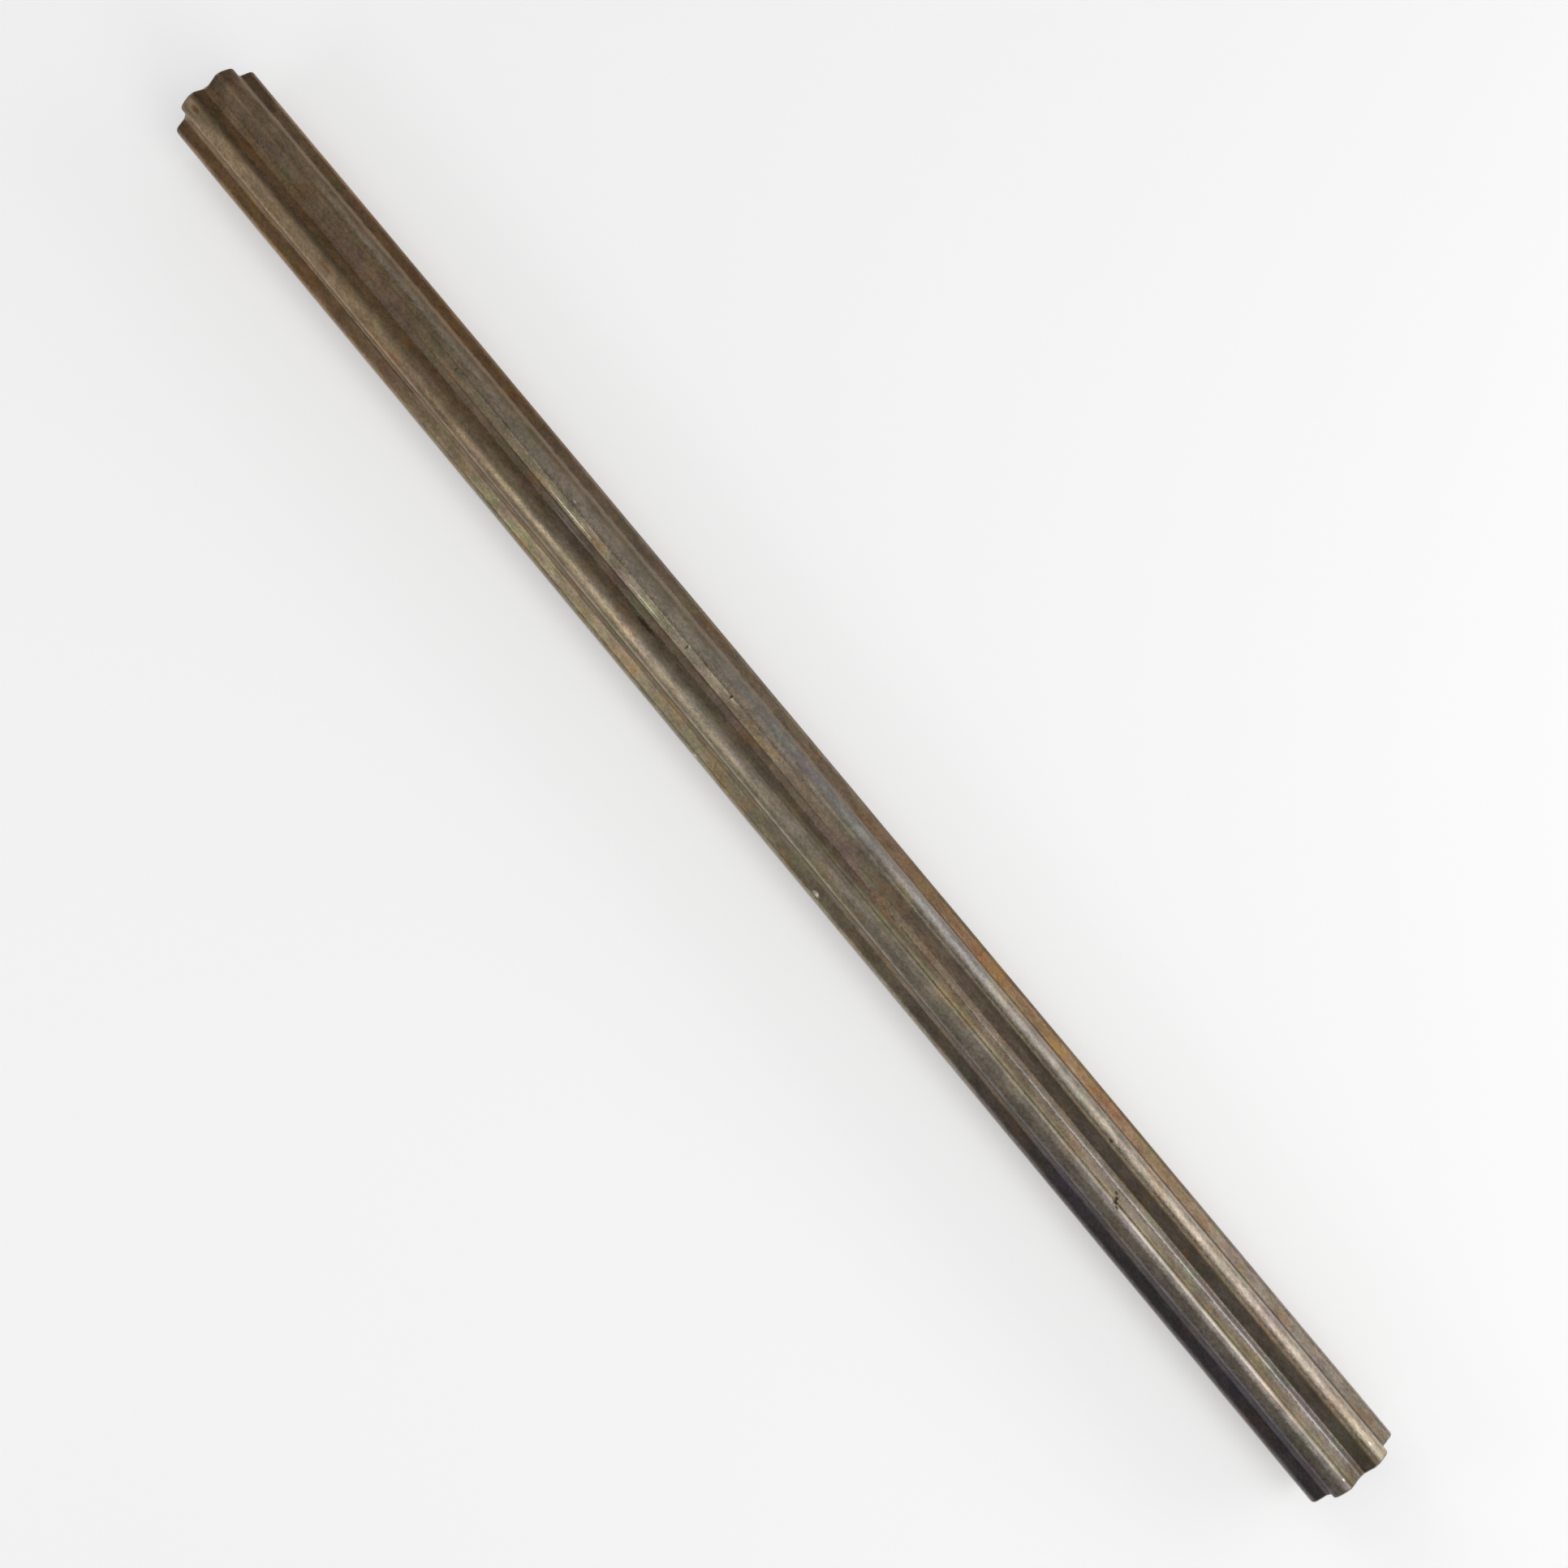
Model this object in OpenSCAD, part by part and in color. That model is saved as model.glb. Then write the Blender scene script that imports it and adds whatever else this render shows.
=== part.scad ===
// Power take-off shaft tube: a straight length of cold-drawn steel tube with a
// star section. Its wall has one thickness all round and bends in and out around
// the section, so that a smaller tube of the same form slides inside it and is
// turned by it. The tube lies along X, on two of its lobes, with its middle at
// the origin and +Z up. Lengths are in millimetres and angles in degrees.

/* [Tube] */
// Cut length of the tube
tube_length = 1000; // [200:1:1500]
// Wall thickness, the same all round the section
wall = 4; // [2:0.1:4.7]

/* [Lobes] */
// Number of lobes around the section
lobe_count = 6; // [4:1:7]
// Diameter of the circle that the crests of the lobes touch
across_lobes = 57; // [50:0.5:80]
// Outer radius of a lobe's crest
crest_radius = 20; // [12:0.5:25]
// Angle of the crest's arc to each side of the lobe's middle
crest_turn = 10; // [5:0.5:13]
// Outer radius of the shoulders between a crest and its flanks
shoulder_radius = 4.8; // [4.1:0.1:6.5]
// Angle between a straight flank and the middle plane of its lobe
flank_angle = 27; // [20:0.5:36]

/* [Grooves] */
// Width of a groove's flat floor
floor_width = 3.2; // [1:0.1:5]
// Outer radius of the bends between a floor and the flanks beside it
bend_radius = 1.5; // [0.5:0.1:4]

/* [Hidden] */
$fn = 96;

// Angle from the middle of a lobe to the middle of the next groove
half_pitch = 180 / lobe_count;
// The first lobe's turn from +Y, which puts one lobe on each side of straight down
first_lobe = half_pitch - 90;

// Turn of a flank's face from the middle of its lobe and from that of its groove
flank_turn = 90 - flank_angle;
floor_turn = flank_turn - half_pitch;

// How far arcs and flats that meet are set over each other, so that they cross
blend = 0.005;

// Distance of a crest's centre from the axis, and of a shoulder's centre from it
crest_centre = across_lobes / 2 - crest_radius;
shoulder_reach = crest_radius - shoulder_radius;

// Distance of a flank from the axis. A flank touches a shoulder and a bend, which
// sets how far the bends' centres are from the axis, towards their groove.
flank_offset = crest_centre * cos(flank_turn) + shoulder_reach * cos(flank_turn - crest_turn)
    + shoulder_radius - blend;
bend_offset = (flank_offset + bend_radius - blend + floor_width / 2 * sin(floor_turn)) / cos(floor_turn);

// A crest's piece of the section starts and ends at these shares of its distance
// from the axis, well below its face and beyond it
cap_start = 0.7;
cap_end = 1.2;

tube_colour = [0.42, 0.39, 0.34];

// Point at a distance from the axis, at an angle from the section's first axis
function polar(distance, angle) = distance * [cos(angle), sin(angle)];

// Middle angle of a lobe
function lobe_angle(k) = first_lobe + 2 * half_pitch * k;

// Middle angle of the groove on one side of a lobe, side being 1 or -1
function groove_angle(k, side) = lobe_angle(k) + side * half_pitch;

// Centres of a crest, a shoulder and a bend
function crest_at(k) = polar(crest_centre, lobe_angle(k));
function shoulder_at(k, side) = crest_at(k) + polar(shoulder_reach, lobe_angle(k) + side * crest_turn);
function bend_at(k, side) = polar(bend_offset, groove_angle(k, side))
    - side * polar(floor_width / 2, groove_angle(k, side) + 90);

// Where a crest of this radius goes over into its shoulder
function crest_edge(k, side, crest_r) = crest_at(k) + polar(crest_r, lobe_angle(k) + side * crest_turn);

// The two ends of a flank, at its bend and at its shoulder, and the end of the floor
function flank_end(k, side, bend_r) =
    bend_at(k, side) - polar(bend_r - blend, lobe_angle(k) + side * flank_turn);
function flank_top(k, side, shoulder_r) =
    shoulder_at(k, side) + polar(shoulder_r - blend, lobe_angle(k) + side * flank_turn);
function floor_end(k, side, bend_r) =
    bend_at(k, side) - polar(bend_r - blend, groove_angle(k, side));

// The straight outline of a lobe, from the groove before it to the one after it
function lobe_corners(k, shoulder_r, bend_r) = [
    floor_end(k, -1, bend_r),
    flank_end(k, -1, bend_r),
    flank_top(k, -1, shoulder_r),
    shoulder_at(k, -1),
    shoulder_at(k, 1),
    flank_top(k, 1, shoulder_r),
    flank_end(k, 1, bend_r),
    floor_end(k, 1, bend_r)
];

// The piece of a lobe under its crest
module cap(k, crest_r) {
    before = crest_edge(k, -1, crest_r);
    after = crest_edge(k, 1, crest_r);
    intersection() {
        translate(crest_at(k))
            circle(r = crest_r - blend);
        polygon([before * cap_start, before * cap_end, after * cap_end, after * cap_start]);
    }
}

// Solid star that fills one face of the wall, a depth below the outer face
module star(depth) {
    crest_r = crest_radius - depth;
    shoulder_r = shoulder_radius - depth;
    bend_r = bend_radius + depth;
    difference() {
        union() {
            polygon([for (k = [0:lobe_count - 1]) each lobe_corners(k, shoulder_r, bend_r)]);
            for (k = [0:lobe_count - 1]) {
                cap(k, crest_r);
                for (side = [-1, 1])
                    translate(shoulder_at(k, side))
                        circle(r = shoulder_r);
            }
        }
        for (k = [0:lobe_count - 1], side = [-1, 1])
            translate(bend_at(k, side))
                circle(r = bend_r);
    }
}

// The tube: its section's first axis is +Y and its second is +Z
module profile_tube() {
    color(tube_colour)
        rotate([90, 0, 90])
            linear_extrude(height = tube_length, center = true)
                difference() {
                    star(0);
                    star(wall);
                }
}

profile_tube();
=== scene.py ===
import math
from collections import namedtuple

import bpy
import numpy as np
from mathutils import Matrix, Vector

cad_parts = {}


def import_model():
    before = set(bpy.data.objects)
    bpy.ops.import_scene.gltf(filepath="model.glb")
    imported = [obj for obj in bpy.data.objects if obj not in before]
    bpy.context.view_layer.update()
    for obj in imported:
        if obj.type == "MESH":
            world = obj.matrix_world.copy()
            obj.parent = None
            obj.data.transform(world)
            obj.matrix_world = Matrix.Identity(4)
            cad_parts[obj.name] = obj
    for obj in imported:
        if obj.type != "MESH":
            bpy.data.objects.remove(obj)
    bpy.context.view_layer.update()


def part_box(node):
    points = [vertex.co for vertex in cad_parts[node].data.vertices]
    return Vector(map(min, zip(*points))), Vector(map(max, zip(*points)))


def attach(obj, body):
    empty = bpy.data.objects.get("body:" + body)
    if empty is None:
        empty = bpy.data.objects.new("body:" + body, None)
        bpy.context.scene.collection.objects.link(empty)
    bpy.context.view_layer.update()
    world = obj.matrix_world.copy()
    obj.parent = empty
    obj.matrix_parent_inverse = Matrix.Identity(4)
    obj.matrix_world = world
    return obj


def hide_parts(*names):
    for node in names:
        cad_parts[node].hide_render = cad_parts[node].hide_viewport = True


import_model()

TUBE_NODE = "profile_tube"
tube_low, tube_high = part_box(TUBE_NODE)
TUBE_END = tube_high.x
FLOOR_LEVEL = tube_low.z

# The star section: lobes with a crest, two shoulders and straight flanks, and grooves with a
# flat floor between two bends
LOBE_COUNT = 6
CREST_DISTANCE = tube_high.y
CREST_RADIUS = 0.020
CREST_TURN = math.radians(10)
SHOULDER_RADIUS = 0.0048
FLANK_ANGLE = math.radians(27)
FLOOR_WIDTH = 0.0032
BEND_RADIUS = 0.0015
WALL = 0.004

HALF_PITCH = math.pi / LOBE_COUNT
FLANK_TURN = math.pi / 2 - FLANK_ANGLE
FLOOR_TURN = FLANK_TURN - HALF_PITCH
CREST_CENTRE = CREST_DISTANCE - CREST_RADIUS
SHOULDER_REACH = CREST_RADIUS - SHOULDER_RADIUS

# Faces from the middle of a lobe to the middle of a groove, and rings along the tube
CREST_FACES = 4
SHOULDER_FACES = 9
FLANK_FACES = 3
BEND_FACES = 5
FLOOR_FACES = 1
RING_SPACING = 0.008
BORE_SPACING = 0.025

# The tube's materials
OUTSIDE_SLOT, END_SLOT, BORE_SLOT = range(3)

# Where the outside, the front end, the bore and the back end lie on the tube's texture
TEXTURE_PATCHES = [
    ((0.004, 0.004), (0.996, 0.720)),
    ((0.004, 0.732), (0.496, 0.772)),
    ((0.004, 0.784), (0.996, 0.984)),
    ((0.504, 0.732), (0.996, 0.772)),
]

# The cut ends, deburred by hand
OUTER_EDGE_ROUND = 0.0008
INNER_EDGE_ROUND = 0.0005
EDGE_FACES = 4
END_FACES = 6

# Distances from the axis between which the film gives way to rubbed steel
RUBBED_FROM = 0.0262
RUBBED_TO = 0.0279

# Uneven drawing and handling, as small departures from a true skin
WAVE_HEIGHT = 0.00004
WAVE_LENGTHS = (0.23, 0.11, 0.047)
SEED = 7

# A dent or gouge: its place along the tube, its lobe, how far its middle is from that lobe's
# crest around the section, its half length and half width, and its depth
Dent = namedtuple("Dent", "x lobe offset length width depth")
DENTS = [
    Dent(0.3070, 2, -7.2e-3, 0.5e-3, 2.4e-3, 0.35e-3),
    Dent(0.2818, 1, 3.4e-3, 0.9e-3, 0.9e-3, 0.20e-3),
    Dent(0.2845, 1, 0.6e-3, 1.2e-3, 0.8e-3, 0.18e-3),
    Dent(-0.0240, 3, -3.2e-3, 1.6e-3, 2.0e-3, 0.25e-3),
    Dent(-0.2770, 1, 8.8e-3, 0.8e-3, 1.0e-3, 0.12e-3),
    Dent(-0.0716, 1, 8.9e-3, 0.5e-3, 1.2e-3, 0.15e-3),
    Dent(-0.0344, 1, 7.4e-3, 0.5e-3, 1.4e-3, 0.15e-3),
    Dent(0.0781, 3, -8.3e-3, 0.9e-3, 0.9e-3, 0.15e-3),
    Dent(-0.1748, 1, 4.9e-3, 0.7e-3, 0.7e-3, 0.15e-3),
]
DENT_RINGS = (-1.8, -1.2, -0.8, -0.4, 0, 0.4, 0.8, 1.2, 1.8)

# Colours of the outside: bare and rubbed steel, films of tarnish, and oil. Some of them also serve as
# painted highlights on lit bands and as painted shade on sides that face away from the lamps.
# Bright steel, whose lightness on the left shoulder's strip is partly a painted highlight
BRIGHT_STEEL_AND_PAINTED_HIGHLIGHT = (0.75, 0.67, 0.60)
# Warm steel; on the back end of the left crest its lightness is partly a painted highlight
WARM_STEEL_AND_PAINTED_HIGHLIGHT = (0.62, 0.46, 0.30)
# Rubbed steel; on the shoulders and the right crest in front its lightness is partly a painted highlight
RUBBED_STEEL_AND_PAINTED_HIGHLIGHT = (0.48, 0.40, 0.32)
# Lilac steel; in the groove's line it is a painted highlight, on the right crest partly one
LILAC_STEEL_AND_PAINTED_HIGHLIGHT = (0.35, 0.33, 0.33)
LIGHT_FILM = (0.30, 0.22, 0.16)
# Olive film; beside the left shoulder it is painted shade
OLIVE_FILM_AND_PAINTED_SHADE = (0.22, 0.19, 0.12)
OCHRE_FILM = (0.23, 0.13, 0.06)
DARK_OLIVE_FILM = (0.11, 0.11, 0.08)
# Brown oil; on the right shoulder in front it is painted shade, on the back of the left flank partly
# painted shade
BROWN_OIL_AND_PAINTED_SHADE = (0.11, 0.08, 0.05)
# Dark oil; on the left side lobe and left of the left crest in front, and in the left groove's front end,
# it is painted shade
DARK_OIL_AND_PAINTED_SHADE = (0.07, 0.06, 0.07)
# Black oil; right of the right crest, on the right side lobe's rim and in the crease it is painted shade
BLACK_OIL_AND_PAINTED_SHADE = (0.05, 0.03, 0.02)

# Colours along the tube, from its back end (0) to its front end (1), of the film in the grooves
# and of the rubbed crests: browner at the back and greyer in front
FILM = [
    (0.1, (0.22, 0.15, 0.09)),
    (0.5, (0.20, 0.16, 0.11)),
    (0.9, (0.18, 0.15, 0.12)),
]
CREST = [
    (0.1, (0.25, 0.17, 0.10)),
    (0.5, (0.28, 0.24, 0.17)),
    (0.9, (0.25, 0.21, 0.17)),
]

# Noise over a surface: the size of its grains along X and across it, its detail and roughness,
# and a shift that tells it from others of its size
Noise = namedtuple("Noise", "size detail roughness shift")
STREAKS = Noise((0.10, 0.0008), 3, 0.65, 4.0)
FINE_STREAKS = Noise((0.030, 0.0007), 3, 0.65, 9.0)
BLOTCHES = Noise((0.012, 0.0070), 4, 0.7, 8.0)
GRAIN = Noise((0.0020, 0.0014), 3, 0.7, 10.0)

# A value that wanders: how far from its lowest to its highest, and the noise that it follows
Wander = namedtuple("Wander", "reach noise")
RAMP_WANDER = Wander(0.16, Noise((0.09, 0.030), 2, 0.5, 0.0))
RUBBED_WANDER = Wander(0.0009, Noise((0.050, 0.012), 2, 0.5, 1.0))
STAIN_WANDER = Wander(0.12, Noise((0.04, 0.014), 2, 0.5, 2.0))
STAIN_TURN_WANDER = Wander(4, Noise((0.060, 0.020), 2, 0.5, 3.0))

# What a noise does to a surface: two of its values, and the factors that they stand for
Tone = namedtuple("Tone", "noise values factors")
TONES = [
    Tone(STREAKS, (0.30, 0.62), (0.97, 1.03)),
    Tone(BLOTCHES, (0.34, 0.66), (0.80, 1.20)),
    Tone(FINE_STREAKS, (0.34, 0.68), (0.98, 1.03)),
    Tone(GRAIN, (0.34, 0.66), (0.83, 1.20)),
]
ROUGHNESS = Tone(Noise((0.03, 0.005), 3, 0.6, 12.0), (0.3, 0.7), (0.26, 0.36))

# The unevenness that a noise gives to a surface: its depth, and how strongly it shows
Relief = namedtuple("Relief", "noise depth strength")
DRAWN_LINES = Relief(STREAKS, 0.000015, 0.5)
DRAWN_GRAIN = Relief(GRAIN, 0.00008, 0.6)

# Films, stains and rubbed places, some of them painted highlights on lit bands and painted shade on sides
# that face
# away from the lamps: the stretch along the tube that each covers, the turns around it, the softness of
# its edges, its colour, and how much of it there is. Turns are in degrees from straight up, positive
# towards +Y.
Stain = namedtuple("Stain", "name x x_fade turn turn_fade colour cover")
STAINS = [
    Stain(
        "olive film on the left side lobe",
        (-0.26, 0.10), 0.06, (-95, -66), 4, OLIVE_FILM_AND_PAINTED_SHADE, 0.60,
    ),
    Stain(
        "brown film on the left side lobe",
        (-0.50, -0.33), 0.05, (-90, -62), 4, OCHRE_FILM, 0.60,
    ),
    # Painted shade on the front of the left side lobe, which faces away from the light there
    Stain(
        "painted shade on the front of the left side lobe",
        (0.22, 0.60), 0.10, (-95, -54), 5, DARK_OIL_AND_PAINTED_SHADE, 0.85,
    ),
    # Painted shade on the left side of the left crest in front, which faces away from the light there
    Stain(
        "painted shade left of the left crest",
        (0.15, 0.60), 0.10, (-54, -36), 5, DARK_OIL_AND_PAINTED_SHADE, 0.75,
    ),
    # Rubbed steel on the back end of the left crest, its lightness partly a painted highlight
    Stain(
        "rubbed back end of the left crest",
        (-0.60, -0.40), 0.05, (-37, -23), 4, WARM_STEEL_AND_PAINTED_HIGHLIGHT, 0.70,
    ),
    # Rubbed steel on the left shoulder, its lightness partly a painted highlight
    Stain(
        "rubbed left shoulder, partly a painted highlight",
        (-0.15, 0.24), 0.10, (-27.5, -21), 3, RUBBED_STEEL_AND_PAINTED_HIGHLIGHT, 0.75,
    ),
    # A rubbed strip of bright steel on the left shoulder, its lightness partly a painted highlight
    Stain(
        "bright strip on the left shoulder",
        (0.26, 0.60), 0.08, (-26, -20), 2.5, BRIGHT_STEEL_AND_PAINTED_HIGHLIGHT, 0.85,
    ),
    # Painted shade: a dark strip that takes away the lamp's highlight beside the left shoulder
    Stain(
        "painted shade beside the left shoulder",
        (0.02, 0.60), 0.08, (-18, -13.5), 1.5, OLIVE_FILM_AND_PAINTED_SHADE, 0.80,
    ),
    # Brown film, partly painted shade on the back half of the left flank, which faces away from the light
    # there
    Stain(
        "brown film and painted shade on the left flank",
        (-0.60, -0.25), 0.08, (-17, -5), 3, OCHRE_FILM, 0.60,
    ),
    # Brown film, partly painted shade on the back end of the left flank
    Stain(
        "brown back end of the left flank",
        (-0.60, -0.34), 0.06, (-21, -14), 2, BROWN_OIL_AND_PAINTED_SHADE, 0.70,
    ),
    Stain(
        "brown film in front on the left flank",
        (0.02, 0.26), 0.06, (-14, -5), 2, BROWN_OIL_AND_PAINTED_SHADE, 0.60,
    ),
    Stain(
        "grey film in the groove",
        (-0.35, 0.20), 0.06, (-5, 4), 1.5, LIGHT_FILM, 0.70,
    ),
    Stain(
        "dark front end of the groove",
        (0.36, 0.60), 0.04, (-2, 2.5), 1, DARK_OIL_AND_PAINTED_SHADE, 0.70,
    ),
    # Painted highlight: a light line along the groove's bend in front
    Stain(
        "painted highlight line in the groove",
        (0.20, 0.60), 0.06, (-5, -2.5), 1, LILAC_STEEL_AND_PAINTED_HIGHLIGHT, 0.80,
    ),
    Stain(
        "olive film on the right flank",
        (-0.24, -0.04), 0.05, (5, 11), 3, DARK_OLIVE_FILM, 0.60,
    ),
    Stain(
        "dark film on the right flank",
        (-0.30, -0.04), 0.05, (12, 17), 2, DARK_OLIVE_FILM, 0.60,
    ),
    Stain(
        "brown film on the right flank",
        (0.02, 0.23), 0.06, (4, 15), 2, LIGHT_FILM, 0.70,
    ),
    Stain(
        "rubbed back end of the right flank",
        (-0.60, -0.38), 0.06, (7, 20), 3, LIGHT_FILM, 0.60,
    ),
    # Rubbed steel on the right shoulder, its lightness partly a painted highlight
    Stain(
        "rubbed right shoulder, partly a painted highlight",
        (-0.25, 0.05), 0.07, (17, 26), 3, RUBBED_STEEL_AND_PAINTED_HIGHLIGHT, 0.75,
    ),
    # Painted shade on the right shoulder in front, which faces away from the light there
    Stain(
        "painted shade on the front of the right shoulder",
        (0.16, 0.60), 0.08, (16, 23), 3, BROWN_OIL_AND_PAINTED_SHADE, 0.85,
    ),
    Stain(
        "rubbed back of the right crest",
        (-0.42, -0.02), 0.06, (25, 32), 3, RUBBED_STEEL_AND_PAINTED_HIGHLIGHT, 0.65,
    ),
    # Lilac film on the right crest, its lightness partly a painted highlight
    Stain(
        "lilac film and painted highlight on the right crest",
        (-0.05, 0.24), 0.07, (25, 38), 4, LILAC_STEEL_AND_PAINTED_HIGHLIGHT, 0.65,
    ),
    # Rubbed steel on the right crest in front, its lightness partly a painted highlight
    Stain(
        "rubbed right crest, partly a painted highlight",
        (0.28, 0.60), 0.07, (26, 42), 4, RUBBED_STEEL_AND_PAINTED_HIGHLIGHT, 0.75,
    ),
    # Painted shade right of the right crest, on the side that faces away from the light at the back and in
    # the middle
    Stain(
        "painted shade right of the right crest",
        (-0.60, 0.10), 0.10, (37, 52), 4, BLACK_OIL_AND_PAINTED_SHADE, 0.60,
    ),
    Stain(
        "ochre film on the right side lobe",
        (-0.42, -0.22), 0.07, (55, 88), 5, OCHRE_FILM, 0.65,
    ),
    Stain(
        "grey film on the right side lobe",
        (-0.20, 0.05), 0.07, (55, 88), 5, LIGHT_FILM, 0.65,
    ),
    Stain(
        "ochre patch on the right side lobe",
        (0.06, 0.34), 0.06, (55, 88), 5, OCHRE_FILM, 0.65,
    ),
    # Painted shade: darkens the floor's reflection on the rim of the right side lobe
    Stain(
        "painted shade on the rim of the right side lobe",
        (-0.40, 0.36), 0.10, (78, 100), 3, BLACK_OIL_AND_PAINTED_SHADE, 0.70,
    ),
    # Painted shade: a dark line in the crease between the left side lobe and the left crest
    Stain(
        "painted shade in the crease",
        (-0.41, -0.29), 0.02, (-65, -61), 1.5, BLACK_OIL_AND_PAINTED_SHADE, 0.85,
    ),
    Stain(
        "rust on the left crest",
        (-0.40, -0.30), 0.05, (-38, -22), 5, WARM_STEEL_AND_PAINTED_HIGHLIGHT, 0.40,
    ),
    Stain(
        "brown patch on the left flank",
        (0.36, 0.44), 0.03, (-18, -10), 3, BROWN_OIL_AND_PAINTED_SHADE, 0.60,
    ),
    # Painted shadow in the left groove at the front end
    Stain(
        "painted shadow in the front end of the left groove",
        (0.41, 0.60), 0.03, (-66, -38), 4, DARK_OIL_AND_PAINTED_SHADE, 0.80,
    ),
    Stain(
        "dark back end",
        (-0.60, -0.484), 0.010, (-180, 180), 1, BLACK_OIL_AND_PAINTED_SHADE, 0.45,
    ),
    Stain(
        "dark front end",
        (0.495, 0.60), 0.005, (-180, 180), 1, BROWN_OIL_AND_PAINTED_SHADE, 0.50,
    ),
]

# How much a stain is broken up by the streaks, and how small grains roughen its edges
BROKEN = Tone(STREAKS, (0.30, 0.55), (0.94, 1))
GRAINY_EDGE = Wander(5, GRAIN)

# Ochre, olive and lilac patches all over, large and then fine, and their tints. They cover less
# of the rubbed crests.
Patch = namedtuple("Patch", "noise tint")
PATCHES = [
    Patch(Noise((0.030, 0.0120), 3, 0.65, 5.0), (1.18, 0.97, 0.74)),
    Patch(Noise((0.025, 0.0100), 3, 0.65, 6.0), (0.89, 1.07, 0.88)),
    Patch(Noise((0.030, 0.0090), 3, 0.65, 7.0), (1.02, 0.94, 1.15)),
    Patch(Noise((0.0050, 0.0035), 3, 0.65, 13.0), (1.10, 0.97, 0.94)),
    Patch(Noise((0.0040, 0.0030), 3, 0.65, 14.0), (0.94, 1.04, 0.97)),
]
PATCH_EDGE = (0.52, 0.66)
PATCH_COVER = 0.8
PATCH_LOSS_ON_CRESTS = 0.3

# Small marks, painted highlight lines and painted glints among them: their middles, half sizes and colours
Mark = namedtuple("Mark", "name x turn length spread colour")
MARKS = [
    Mark("top of the gouge", 0.3105, -20.0, 1.6e-3, 1.2, (0.050, 0.036, 0.026)),
    Mark("gouge", 0.3082, -17.6, 1.3e-3, 1.9, (0.038, 0.027, 0.019)),
    Mark("gouge", 0.3068, -14.2, 1.3e-3, 2.0, (0.042, 0.030, 0.021)),
    Mark("end of the gouge", 0.3050, -10.6, 1.6e-3, 1.8, (0.055, 0.038, 0.026)),
    # Painted highlights: thin light lines in the groove and on the right flank, where the left lamp's
    # reflection falls
    Mark("painted highlight line", -0.1650, -3.8, 2.0e-2, 0.8, (0.400, 0.400, 0.420)),
    Mark("painted highlight line", -0.1080, -4.0, 1.6e-2, 0.7, (0.330, 0.330, 0.350)),
    Mark("painted highlight line", -0.1720, 0.4, 1.8e-2, 0.8, (0.320, 0.300, 0.290)),
    Mark("painted highlight line", -0.1700, 9.0, 2.2e-2, 0.8, (0.420, 0.420, 0.330)),
    Mark("painted highlight line", -0.1050, 9.4, 1.8e-2, 0.7, (0.360, 0.360, 0.290)),
    Mark("pit", 0.2818, 23.2, 1.8e-3, 1.6, (0.055, 0.045, 0.036)),
    Mark("pit", 0.2880, 24.6, 1.2e-3, 1.2, (0.070, 0.055, 0.045)),
    # Painted glints: small light specks in dents and on the front edge's lit bands
    Mark("painted glint", -0.1748, 20.2, 1.3e-3, 1.2, (0.75, 0.72, 0.64)),
    Mark("painted glint", 0.0781, -74.4, 2.2e-3, 2.4, (0.70, 0.66, 0.56)),
    Mark("painted glint", -0.0250, -82.0, 2.0e-3, 3.0, (0.60, 0.54, 0.44)),
    Mark("painted glint", 0.4935, -19.6, 1.2e-3, 1.0, (0.80, 0.78, 0.74)),
    Mark("painted glint", 0.4890, 28.8, 1.2e-3, 1.0, (0.80, 0.78, 0.74)),
    Mark("scratch", -0.2770, 13.6, 0.7e-3, 2.0, (0.060, 0.045, 0.030)),
    Mark("scratch", -0.0716, 13.5, 0.7e-3, 2.4, (0.050, 0.040, 0.028)),
    Mark("scratch", -0.0344, 15.7, 0.8e-3, 2.2, (0.060, 0.045, 0.030)),
    Mark("blotch", -0.0957, -9.5, 9.0e-3, 3.0, (0.070, 0.050, 0.034)),
    Mark("rust", -0.3700, -29.2, 7.0e-3, 3.0, (0.30, 0.165, 0.080)),
    Mark("rust", -0.4910, -27.8, 4.0e-3, 4.0, (0.25, 0.120, 0.055)),
    Mark("rust", 0.2268, 69.0, 9.0e-3, 4.0, (0.27, 0.165, 0.055)),
    Mark("rust", 0.1730, 78.0, 8.0e-3, 4.0, (0.24, 0.150, 0.052)),
]

# Ragged edges of the marks, and how they fade
MARK_EDGE = Noise((0.0016, 0.0016), 2, 0.6, 11.0)
MARK_EDGE_REACH = 1.6
MARK_FADE = (1.2, 2.0)
MARK_COVER = 0.9

# The sawn ends: saw lines and a brown bloom on dull steel
SAW_LINES = Noise((0.01, 0.0004), 2, 0.5, 1.0)
SAW_LIGHT = Tone(SAW_LINES, (0.4, 0.6), (0, 0.3))
SAW_RELIEF = Relief(SAW_LINES, 0.0001, 0.6)
BLOOM = Tone(Noise((0.004, 0.004), 4, 0.6, 2.0), (0.45, 0.65), (0, 0.8))
SAWN_COLOUR = (0.30, 0.275, 0.245)
BLOOM_COLOUR = (0.16, 0.10, 0.06)
SAW_LIGHT_COLOUR = (0.42, 0.40, 0.37)
SAWN_METALLIC = 0.9
SAWN_ROUGHNESS = (0.42, 0.65)

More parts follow.
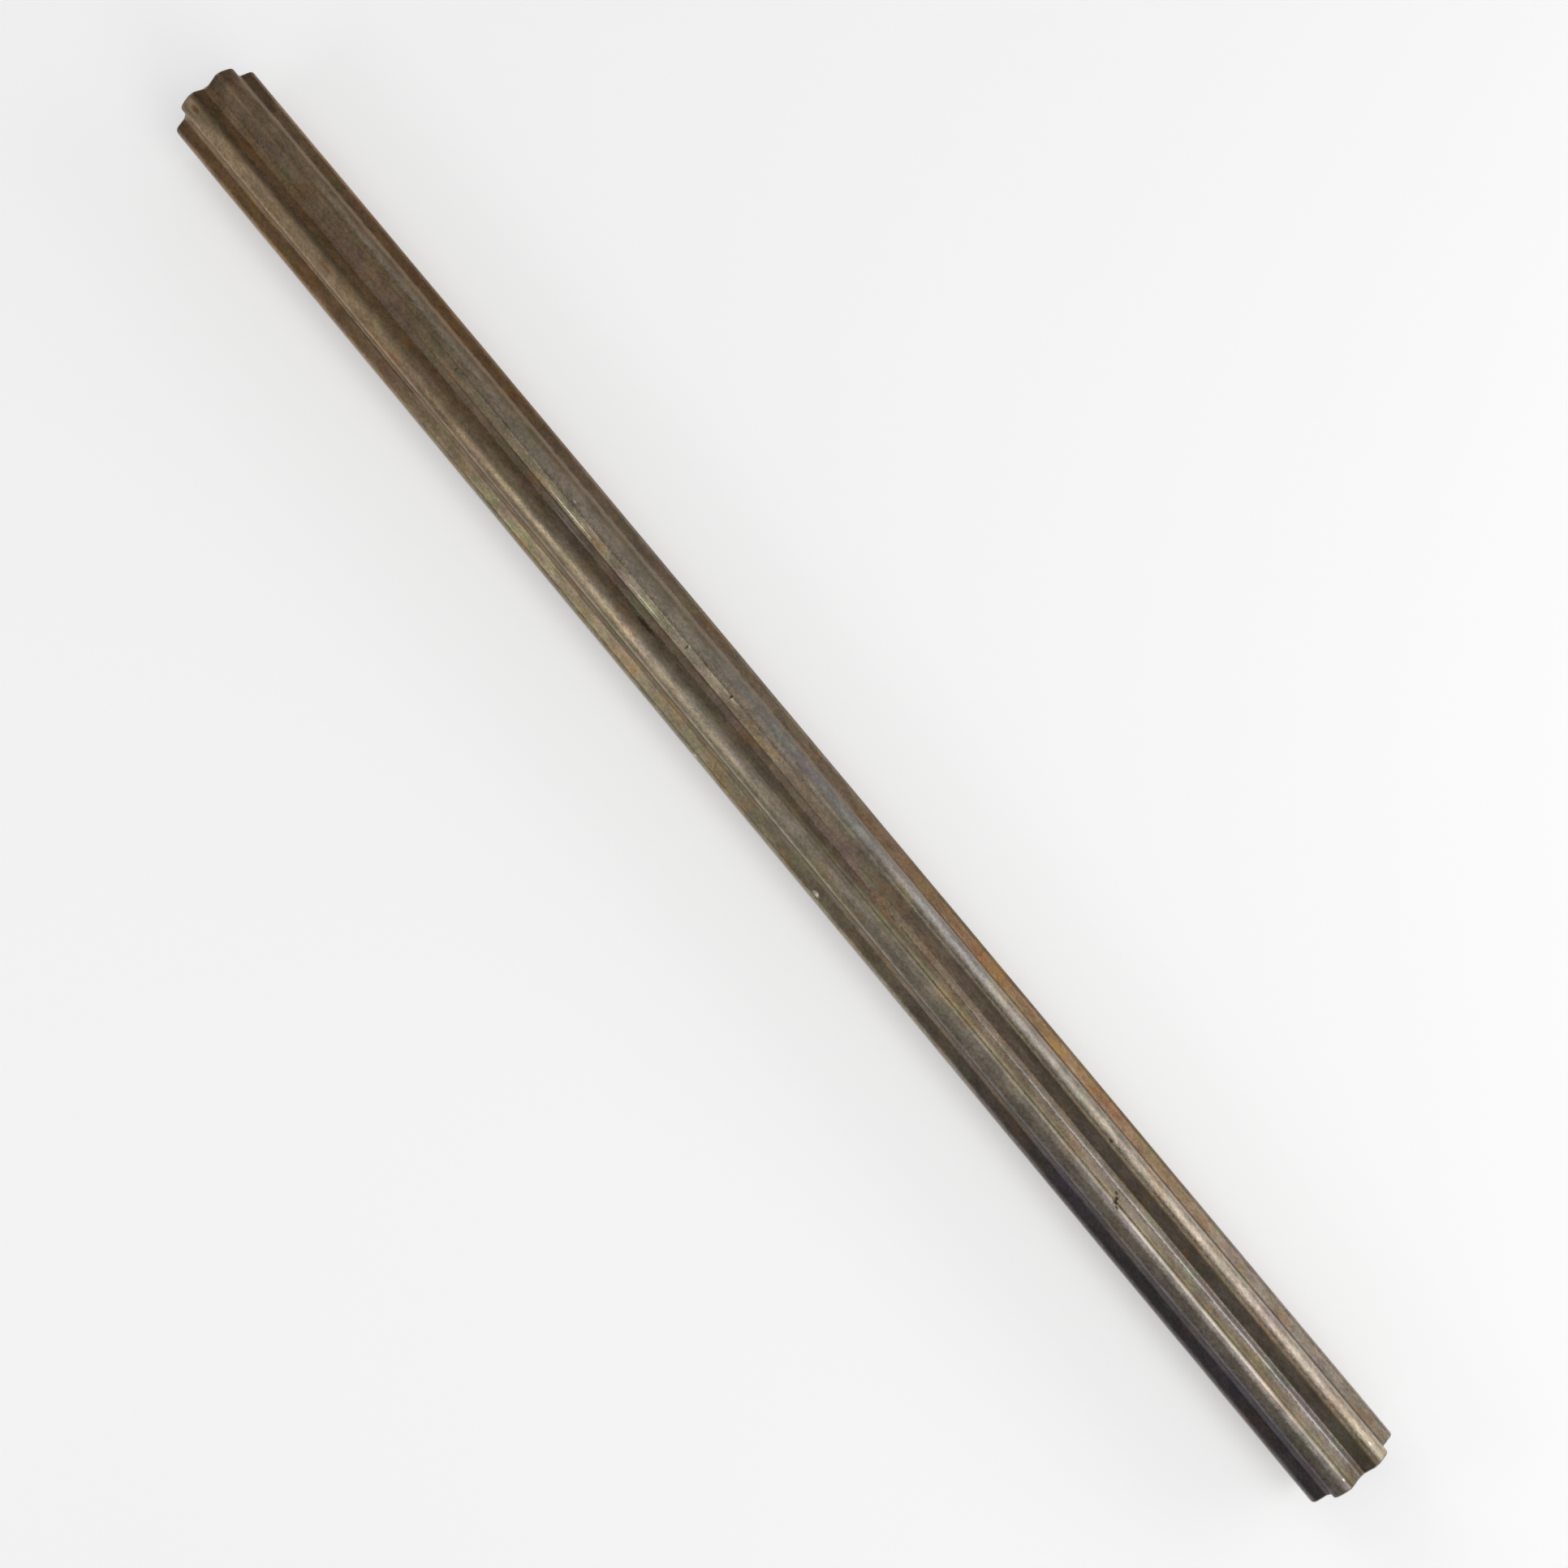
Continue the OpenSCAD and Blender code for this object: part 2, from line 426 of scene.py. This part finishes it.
# The bore: dark scale with rust and lighter streaks
BORE_RUST = Tone(Noise((0.03, 0.006), 4, 0.6, 1.0), (0.42, 0.66), (0, 1))
BORE_STREAKS = Noise((0.10, 0.001), 3, 0.6, 2.0)
BORE_LIGHT = Tone(BORE_STREAKS, (0.4, 0.7), (0, 0.4))
BORE_RELIEF = Relief(BORE_STREAKS, 0.0001, 0.5)
SCALE_COLOUR = (0.055, 0.047, 0.042)
RUST_COLOUR = (0.13, 0.068, 0.035)
BORE_LIGHT_COLOUR = (0.16, 0.14, 0.12)
BORE_METALLIC = 0.5
BORE_ROUGHNESS = (0.5, 0.75)

# The camera
CAMERA_PLACE = (0.11720, -0.08877, 1.11816)
CAMERA_TURN = (6.772, -0.323, 50.404)
CAMERA_LENS = 46.074
SENSOR = 36

# The floor and the lights. A light's strength is the brightness of its face.
FLOOR_SIZE = 40
FLOOR_COLOUR = (0.90, 0.90, 0.90)
FLOOR_GLOW = 0.30
FLOOR_NOISE = Noise((0.4, 0.4), 2, 0.5, 1.0)
FLOOR_DIMMING = 0.985
FLOOR_ROUGHNESS = 0.9
FLOOR_SPECULAR = 0.1
WORLD_COLOUR = (0.34, 0.34, 0.34)
HORIZON_COLOUR = (0.68, 0.68, 0.68)
HORIZON_RISE = (0.02, 0.20)
Light = namedtuple("Light", "name place aim size strength")
LIGHTS = [
    Light("left_key", (-0.40, -1.15, 0.73), (-0.12, 0, 0), (0.48, 0.32), 2.7),
    Light("right_key", (0.74, 1.20, 0.60), (0.34, 0, 0), (1.35, 0.45), 1.7),
    Light("overhead", (0.95, 0.45, 1.9), (0.3, 0, 0), (1.3, 1.3), 1.4),
    Light("front_end", (2.8, 0, 1.6), (0, 0, 0), (1.6, 1.6), 1.8),
    Light("back_end", (-2.8, 0, 1.6), (0, 0, 0), (1.6, 1.6), 1.8),
]


def turned(angle):
    """Unit vectors in the section, at angles from its first axis, +Y."""
    return np.stack([np.cos(angle), np.sin(angle)], -1)


def half_lobe():
    """Points of the outer skin from the middle of a lobe to that of a groove, and their normals' turns."""
    shoulder = np.array([CREST_CENTRE, 0]) + SHOULDER_REACH * turned(CREST_TURN)
    flank_offset = shoulder @ turned(FLANK_TURN) + SHOULDER_RADIUS
    bend_offset = flank_offset + BEND_RADIUS + FLOOR_WIDTH / 2 * math.sin(FLOOR_TURN)
    bend_offset /= math.cos(FLOOR_TURN)
    bend = bend_offset * turned(HALF_PITCH) - FLOOR_WIDTH / 2 * turned(HALF_PITCH + math.pi / 2)
    crest_turns = np.linspace(0, CREST_TURN, CREST_FACES + 1)
    shoulder_turns = np.linspace(CREST_TURN, FLANK_TURN, SHOULDER_FACES + 1)[1:]
    bend_turns = np.linspace(FLANK_TURN, HALF_PITCH, BEND_FACES + 1)
    crest_points = np.array([CREST_CENTRE, 0]) + CREST_RADIUS * turned(crest_turns)
    shoulder_points = shoulder + SHOULDER_RADIUS * turned(shoulder_turns)
    bend_points = bend - BEND_RADIUS * turned(bend_turns)
    flank_points = np.linspace(shoulder_points[-1], bend_points[0], FLANK_FACES + 1)[1:-1]
    floor_middle = (bend_offset - BEND_RADIUS) * turned(HALF_PITCH)
    floor_points = np.linspace(bend_points[-1], floor_middle, FLOOR_FACES + 1)[1:]
    points = np.concatenate([crest_points, shoulder_points, flank_points, bend_points, floor_points])
    flank_turns = np.full(len(flank_points), FLANK_TURN)
    floor_turns = np.full(len(floor_points), HALF_PITCH)
    turns = np.concatenate([crest_turns, shoulder_turns, flank_turns, bend_turns, floor_turns])
    return points, turns


def section():
    """Points of the outer skin, their normals, their distances around it from a crest, and its girth."""
    points, turns = half_lobe()
    lobe = np.concatenate([points[-2:0:-1] * (1, -1), points])
    lobe_turns = np.concatenate([-turns[-2:0:-1], turns])
    middle = len(points) - 2
    starts = 2 * HALF_PITCH * np.arange(LOBE_COUNT)
    across = turned(starts + math.pi / 2)
    outline = lobe[None, :, :1] * turned(starts)[:, None] + lobe[None, :, 1:] * across[:, None]
    outline = outline.reshape(-1, 2)
    normals = turned((starts[:, None] + lobe_turns[None]).ravel())
    steps = np.linalg.norm(np.roll(outline, -1, 0) - outline, axis=1)
    walked = np.concatenate([[0], np.cumsum(steps)])
    return outline, normals, walked[:-1] - walked[middle], walked[-1]


def rings():
    """One closed walk over the skin: places along X, depths below the outer face, and materials."""
    bend = np.linspace(0, math.pi / 2, EDGE_FACES + 1)
    reach = TUBE_END - OUTER_EDGE_ROUND
    count = math.ceil(2 * reach / RING_SPACING)
    next_to_ends = [-reach + OUTER_EDGE_ROUND, reach - OUTER_EDGE_ROUND]
    outside = [np.linspace(-reach, reach, count + 1), next_to_ends]
    outside += [dent.x + dent.length * np.array(DENT_RINGS) for dent in DENTS]
    outside = np.unique(np.concatenate(outside).round(6))
    outer_x = reach + OUTER_EDGE_ROUND * np.sin(bend[1:])
    outer_depth = OUTER_EDGE_ROUND * (1 - np.cos(bend[1:]))
    inner_x = TUBE_END - INNER_EDGE_ROUND * (1 - np.cos(bend))
    inner_depth = WALL - INNER_EDGE_ROUND * (1 - np.sin(bend))
    face_depth = np.linspace(OUTER_EDGE_ROUND, WALL - INNER_EDGE_ROUND, END_FACES + 1)[1:-1]
    end_x = np.concatenate([outer_x, np.full(len(face_depth), TUBE_END), inner_x])
    end_depth = np.concatenate([outer_depth, face_depth, inner_depth])
    bore_reach = TUBE_END - 2 * INNER_EDGE_ROUND
    bore_count = math.ceil(2 * bore_reach / BORE_SPACING)
    bore = np.linspace(bore_reach, -bore_reach, bore_count + 1)
    x = np.concatenate([outside, end_x, bore, -end_x[::-1]])
    outside_depth = np.zeros(len(outside))
    bore_depth = np.full(len(bore), WALL)
    depth = np.concatenate([outside_depth, end_depth, bore_depth, end_depth[::-1]])
    counts = [len(outside) - 1, len(end_x), len(bore) + 1, len(end_x)]
    slots = np.repeat([OUTSIDE_SLOT, END_SLOT, BORE_SLOT, END_SLOT], counts)
    return x, depth, slots


def unevenness(x, around, girth):
    """How far each point of the outer skin lies below a true one."""
    chance = np.random.default_rng(SEED)
    sunk = np.zeros((len(x), len(around)))
    for wave in WAVE_LENGTHS:
        for turns in range(1, LOBE_COUNT + 1):
            phase = chance.uniform(0, 2 * math.pi, 2)
            lengthwise = np.sin(2 * math.pi * x / wave + phase[0])
            sunk += WAVE_HEIGHT / LOBE_COUNT * np.outer(
                lengthwise, 1 + np.sin(2 * math.pi * turns * around / girth + phase[1])
            )
    for dent in DENTS:
        apart = around - dent.lobe * girth / LOBE_COUNT - dent.offset
        apart = (apart + girth / 2) % girth - girth / 2
        along = np.exp(-(((x - dent.x) / dent.length) ** 2))
        across = np.exp(-((apart / dent.width) ** 2))
        sunk += dent.depth * np.outer(along, across)
    return sunk


def texture_places(x, depth, slots, around, girth):
    """Places on the texture of the four corners of every face."""
    steps = np.hypot(np.roll(x, -1) - x, np.roll(depth, -1) - depth)
    walked = np.concatenate([[0], np.cumsum(steps)])
    start = (around - around[0]) / girth
    end = np.append(start[1:], 1)
    patch_starts = np.flatnonzero(np.concatenate([[True], np.diff(slots) != 0]))
    patch_ends = np.append(patch_starts[1:], len(slots))
    places = []
    for first, last, (low, high) in zip(patch_starts, patch_ends, TEXTURE_PATCHES):
        share = (walked[first:last + 1] - walked[first]) / (walked[last] - walked[first])
        near, far = share[:-1], share[1:]
        corners = []
        for ring_share, point_share in ((near, start), (far, start), (far, end), (near, end)):
            pair = np.broadcast_arrays(ring_share[:, None], point_share[None])
            corners.append(np.stack(pair if slots[first] != END_SLOT else pair[::-1], -1))
        low, high = np.array(low), np.array(high)
        places.append(low + (high - low) * np.stack(corners, 2))
    return np.concatenate(places)


def tube(materials):
    """The tube as one closed skin: outside, cut ends and bore."""
    points, normals, around, girth = section()
    x, depth, slots = rings()
    sunk = unevenness(x, around, girth) * (depth == 0)[:, None]
    below = depth[:, None] + sunk
    yz = points[None] - normals[None] * below[..., None]
    ring_count, point_count = yz.shape[:2]
    all_x = np.broadcast_to(x[:, None, None], (ring_count, point_count, 1))
    vertices = np.concatenate([all_x, yz], -1)
    ring = np.arange(ring_count)[:, None]
    point = np.arange(point_count)[None]
    next_ring = (ring + 1) % ring_count
    next_point = (point + 1) % point_count
    corners = [ring * point_count + point, next_ring * point_count + point]
    corners += [next_ring * point_count + next_point, ring * point_count + next_point]
    faces = np.stack(np.broadcast_arrays(*corners), -1).reshape(-1, 4)
    mesh = bpy.data.meshes.new("star_tube")
    mesh.from_pydata(vertices.reshape(-1, 3).tolist(), [], faces.tolist())
    mesh.polygons.foreach_set("material_index", np.repeat(slots, point_count).astype(np.int32))
    mesh.polygons.foreach_set("use_smooth", np.ones(len(faces), bool))
    layout = mesh.uv_layers.new(name="OFBake")
    places = texture_places(x, depth, slots, around, girth)
    layout.data.foreach_set("uv", places.astype(np.float32).ravel())
    for material in materials:
        mesh.materials.append(material)
    mesh.update()
    piece = bpy.data.objects.new("star_tube", mesh)
    bpy.context.scene.collection.objects.link(piece)
    return piece


class Nodes:
    """A material's node tree, with short calls for the nodes that are used most."""

    def __init__(self, name):
        self.material = bpy.data.materials.new(name)
        self.material.use_nodes = True
        self.tree = self.material.node_tree
        self.tree.nodes.clear()
        self.shader = self.tree.nodes.new("ShaderNodeBsdfPrincipled")
        output = self.tree.nodes.new("ShaderNodeOutputMaterial")
        self.tree.links.new(self.shader.outputs[0], output.inputs["Surface"])
        self.position = self.tree.nodes.new("ShaderNodeTexCoord").outputs["Object"]
        self.noises = {}

    def put(self, socket, value):
        """Links a socket to another one, or sets it."""
        if isinstance(value, bpy.types.NodeSocket):
            self.tree.links.new(value, socket)
        elif value is not None:
            socket.default_value = value

    def math(self, operation, a, b=None, c=None):
        node = self.tree.nodes.new("ShaderNodeMath")
        node.operation = operation
        for socket, value in zip(node.inputs, (a, b, c)):
            self.put(socket, value)
        return node.outputs[0]

    def stretched(self, grain):
        """Position measured in grains, whose sizes are given along X and across it."""
        node = self.tree.nodes.new("ShaderNodeVectorMath")
        node.operation = "MULTIPLY"
        self.put(node.inputs[0], self.position)
        node.inputs[1].default_value = (1 / grain[0], 1 / grain[1], 1 / grain[1])
        return node.outputs[0]

    def noise(self, noise):
        """A noise's value. Each noise is made once, and then used again."""
        if noise not in self.noises:
            node = self.tree.nodes.new("ShaderNodeTexNoise")
            node.noise_dimensions = "4D"
            self.put(node.inputs["Vector"], self.stretched(noise.size))
            node.inputs["W"].default_value = noise.shift
            node.inputs["Scale"].default_value = 1
            node.inputs["Detail"].default_value = noise.detail
            node.inputs["Roughness"].default_value = noise.roughness
            self.noises[noise] = node.outputs["Fac"]
        return self.noises[noise]

    def between(self, value, low, high, to_low=0.0, to_high=1.0):
        """A smooth step from one value to another as the input goes from low to high."""
        node = self.tree.nodes.new("ShaderNodeMapRange")
        node.interpolation_type = "SMOOTHSTEP"
        for socket, given in zip(node.inputs, (value, low, high, to_low, to_high)):
            self.put(socket, given)
        return node.outputs[0]

    def mix(self, factor, a, b, kind="MIX"):
        node = self.tree.nodes.new("ShaderNodeMix")
        node.data_type = "RGBA"
        node.blend_type = kind
        self.put(node.inputs["Factor"], factor)
        for name, value in (("A", a), ("B", b)):
            socket = next(s for s in node.inputs if s.name == name and s.type == "RGBA")
            self.put(socket, value + (1,) if isinstance(value, tuple) else value)
        return next(s for s in node.outputs if s.type == "RGBA")

    def ramp(self, value, stops):
        node = self.tree.nodes.new("ShaderNodeValToRGB")
        elements = node.color_ramp.elements
        while len(elements) < len(stops):
            elements.new(0)
        for element, (place, colour) in zip(elements, stops):
            element.position = place
            element.color = colour + (1,)
        self.put(node.inputs[0], value)
        return node.outputs[0]

    def scaled(self, colour, factor):
        """A colour made darker or lighter by a factor."""
        node = self.tree.nodes.new("ShaderNodeVectorMath")
        node.operation = "SCALE"
        self.put(node.inputs[0], colour)
        self.put(node.inputs["Scale"], factor)
        return node.outputs[0]

    def toned(self, tone):
        """The factor that a noise stands for."""
        return self.between(self.noise(tone.noise), *tone.values, *tone.factors)

    def relief(self, relief, under=None):
        """Normals for a relief, on top of another one's where that is given."""
        node = self.tree.nodes.new("ShaderNodeBump")
        node.inputs["Strength"].default_value = relief.strength
        node.inputs["Distance"].default_value = relief.depth
        self.put(node.inputs["Height"], self.noise(relief.noise))
        self.put(node.inputs["Normal"], under)
        return node.outputs[0]

    def span(self, value, ends, fade):
        """1 between two ends and 0 outside them, with soft edges."""
        rise = self.between(value, ends[0] - fade, ends[0] + fade)
        fall = self.between(value, ends[1] - fade, ends[1] + fade, 1, 0)
        return self.math("MULTIPLY", rise, fall)

    def wandering(self, value, wander):
        """A value that wanders to both sides."""
        offset = self.math("SUBTRACT", self.noise(wander.noise), 0.5)
        return self.math("MULTIPLY_ADD", offset, wander.reach, value)

    def places(self):
        """Place along the tube, turn around it from straight up in degrees, and distance from its axis."""
        split = self.tree.nodes.new("ShaderNodeSeparateXYZ")
        self.put(split.inputs[0], self.position)
        x, y, z = split.outputs
        turn = self.math("MULTIPLY", self.math("ARCTAN2", y, z), math.degrees(1))
        distance = self.length(y, z)
        return x, turn, distance

    def length(self, a, b):
        """Length of the vector (a, b)."""
        return self.math("SQRT", self.math("MULTIPLY_ADD", a, a, self.math("MULTIPLY", b, b)))


def film_and_stains(n, x, turn, distance):
    """Colour of the outside: film in the grooves, rubbed crests, and stains and patches on both; some
    stains are painted highlights and painted shade.
    """
    along = n.math("MULTIPLY_ADD", n.wandering(x, RAMP_WANDER), 0.5 / TUBE_END, 0.5)
    rubbed = n.between(n.wandering(distance, RUBBED_WANDER), RUBBED_FROM, RUBBED_TO)
    colour = n.mix(rubbed, n.ramp(along, FILM), n.ramp(along, CREST))

    stain_x = n.wandering(x, STAIN_WANDER)
    stain_turn = n.wandering(n.wandering(turn, STAIN_TURN_WANDER), GRAINY_EDGE)
    broken = n.toned(BROKEN)
    for stain in STAINS:
        lengthwise = n.span(stain_x, stain.x, stain.x_fade)
        mask = n.math("MULTIPLY", lengthwise, n.span(stain_turn, stain.turn, stain.turn_fade))
        cover = n.math("MULTIPLY", n.math("MULTIPLY", mask, broken), stain.cover)
        colour = n.mix(cover, colour, stain.colour)

    patch_cover = n.math("MULTIPLY_ADD", rubbed, -PATCH_LOSS_ON_CRESTS, PATCH_COVER)
    for patch in PATCHES:
        cover = n.between(n.noise(patch.noise), *PATCH_EDGE, 0, patch_cover)
        colour = n.mix(cover, colour, patch.tint, "MULTIPLY")
    return colour


def with_marks(n, x, turn, colour):
    """A colour with the small marks on it, painted highlight lines and painted glints among them."""
    edge = n.noise(MARK_EDGE)
    for mark in MARKS:
        across = n.math("DIVIDE", n.math("SUBTRACT", turn, mark.turn), mark.spread)
        lengthwise = n.math("DIVIDE", n.math("SUBTRACT", x, mark.x), mark.length)
        apart = n.math("MULTIPLY_ADD", edge, MARK_EDGE_REACH, n.length(across, lengthwise))
        colour = n.mix(n.between(apart, *MARK_FADE, MARK_COVER, 0), colour, mark.colour)
    return colour


def drawn_steel():
    """The outside: drawn steel, rubbed on the crests, with film, oil, rust and small marks, and with
    painted highlights and painted shade.
    """
    n = Nodes("drawn_steel_outside")
    x, turn, distance = n.places()
    colour = film_and_stains(n, x, turn, distance)
    tone = n.toned(TONES[0])
    for other in TONES[1:]:
        tone = n.math("MULTIPLY", tone, n.toned(other))
    colour = with_marks(n, x, turn, n.scaled(colour, tone))

    n.put(n.shader.inputs["Base Color"], colour)
    n.shader.inputs["Metallic"].default_value = 1.0
    n.put(n.shader.inputs["Roughness"], n.toned(ROUGHNESS))
    n.put(n.shader.inputs["Normal"], n.relief(DRAWN_GRAIN, n.relief(DRAWN_LINES)))
    return n.material


def cut_steel():
    """The sawn ends: duller steel with the saw's lines across it and a brown bloom."""
    n = Nodes("sawn_steel")
    bloom = n.toned(BLOOM)
    colour = n.mix(bloom, SAWN_COLOUR, BLOOM_COLOUR)
    n.put(n.shader.inputs["Base Color"], n.mix(n.toned(SAW_LIGHT), colour, SAW_LIGHT_COLOUR))
    n.shader.inputs["Metallic"].default_value = SAWN_METALLIC
    n.put(n.shader.inputs["Roughness"], n.between(bloom, *BLOOM.factors, *SAWN_ROUGHNESS))
    n.put(n.shader.inputs["Normal"], n.relief(SAW_RELIEF))
    return n.material


def bore_scale():
    """The bore: dull dark scale with rust."""
    n = Nodes("bore_scale")
    rust = n.toned(BORE_RUST)
    colour = n.mix(rust, SCALE_COLOUR, RUST_COLOUR)
    n.put(n.shader.inputs["Base Color"], n.mix(n.toned(BORE_LIGHT), colour, BORE_LIGHT_COLOUR))
    n.shader.inputs["Metallic"].default_value = BORE_METALLIC
    n.put(n.shader.inputs["Roughness"], n.between(rust, *BORE_RUST.factors, *BORE_ROUGHNESS))
    n.put(n.shader.inputs["Normal"], n.relief(BORE_RELIEF))
    return n.material


def floor_paint():
    """The floor: a matt pale surface with a faint unevenness, which rays from the camera see paler."""
    n = Nodes("pale_floor")
    dimmer = tuple(FLOOR_DIMMING * c for c in FLOOR_COLOUR)
    n.put(n.shader.inputs["Base Color"], n.mix(n.noise(FLOOR_NOISE), FLOOR_COLOUR, dimmer))
    n.shader.inputs["Roughness"].default_value = FLOOR_ROUGHNESS
    n.shader.inputs["Specular IOR Level"].default_value = FLOOR_SPECULAR
    rays = n.tree.nodes.new("ShaderNodeLightPath").outputs
    mirrored = n.math("MAXIMUM", rays["Is Glossy Ray"], rays["Is Transmission Ray"])
    seen = n.math("MAXIMUM", rays["Is Camera Ray"], mirrored)
    n.shader.inputs["Emission Color"].default_value = (1, 1, 1, 1)
    n.put(n.shader.inputs["Emission Strength"], n.math("MULTIPLY", seen, FLOOR_GLOW))
    return n.material


def floor():
    mesh = bpy.data.meshes.new("floor")
    half = FLOOR_SIZE / 2
    corners = [(-half, -half, 0), (half, -half, 0), (half, half, 0), (-half, half, 0)]
    mesh.from_pydata(corners, [], [(0, 1, 2, 3)])
    mesh.materials.append(floor_paint())
    plane = bpy.data.objects.new("floor", mesh)
    plane.location.z = FLOOR_LEVEL
    bpy.context.scene.collection.objects.link(plane)
    return plane


def lamp(light):
    """A soft rectangular light; its strength is the brightness of its face."""
    data = bpy.data.lights.new(light.name, "AREA")
    data.shape = "RECTANGLE"
    data.size, data.size_y = light.size
    data.energy = light.strength * math.pi * light.size[0] * light.size[1]
    lamp_object = bpy.data.objects.new(light.name, data)
    towards = np.array(light.aim) - np.array(light.place)
    lamp_object.location = light.place
    tilt = math.atan2(math.hypot(towards[0], towards[1]), -towards[2])
    heading = math.atan2(towards[1], towards[0]) - math.pi / 2
    lamp_object.rotation_euler = (tilt, 0, heading)
    bpy.context.scene.collection.objects.link(lamp_object)


def world():
    """An even studio around the floor, paler towards the horizon."""
    sky = bpy.data.worlds.new("studio")
    sky.use_nodes = True
    tree = sky.node_tree
    direction = tree.nodes.new("ShaderNodeTexCoord").outputs["Generated"]
    split = tree.nodes.new("ShaderNodeSeparateXYZ")
    rise = tree.nodes.new("ShaderNodeMapRange")
    rise.interpolation_type = "SMOOTHSTEP"
    rise.inputs["From Min"].default_value = HORIZON_RISE[0]
    rise.inputs["From Max"].default_value = HORIZON_RISE[1]
    blend = tree.nodes.new("ShaderNodeMixRGB")
    blend.inputs["Color1"].default_value = HORIZON_COLOUR + (1,)
    blend.inputs["Color2"].default_value = WORLD_COLOUR + (1,)
    tree.links.new(direction, split.inputs[0])
    tree.links.new(split.outputs["Z"], rise.inputs["Value"])
    tree.links.new(rise.outputs[0], blend.inputs["Fac"])
    tree.links.new(blend.outputs[0], tree.nodes["Background"].inputs["Color"])
    bpy.context.scene.world = sky


def camera():
    data = bpy.data.cameras.new("camera")
    data.lens = CAMERA_LENS
    data.sensor_width = SENSOR
    eye = bpy.data.objects.new("camera", data)
    eye.location = CAMERA_PLACE
    eye.rotation_euler = [math.radians(a) for a in CAMERA_TURN]
    bpy.context.scene.collection.objects.link(eye)
    bpy.context.scene.camera = eye


camera()
world()
for light in LIGHTS:
    lamp(light)
floor()

piece = tube([drawn_steel(), cut_steel(), bore_scale()])
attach(piece, "root")
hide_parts(TUBE_NODE)

bpy.context.scene.view_settings.view_transform = "Standard"
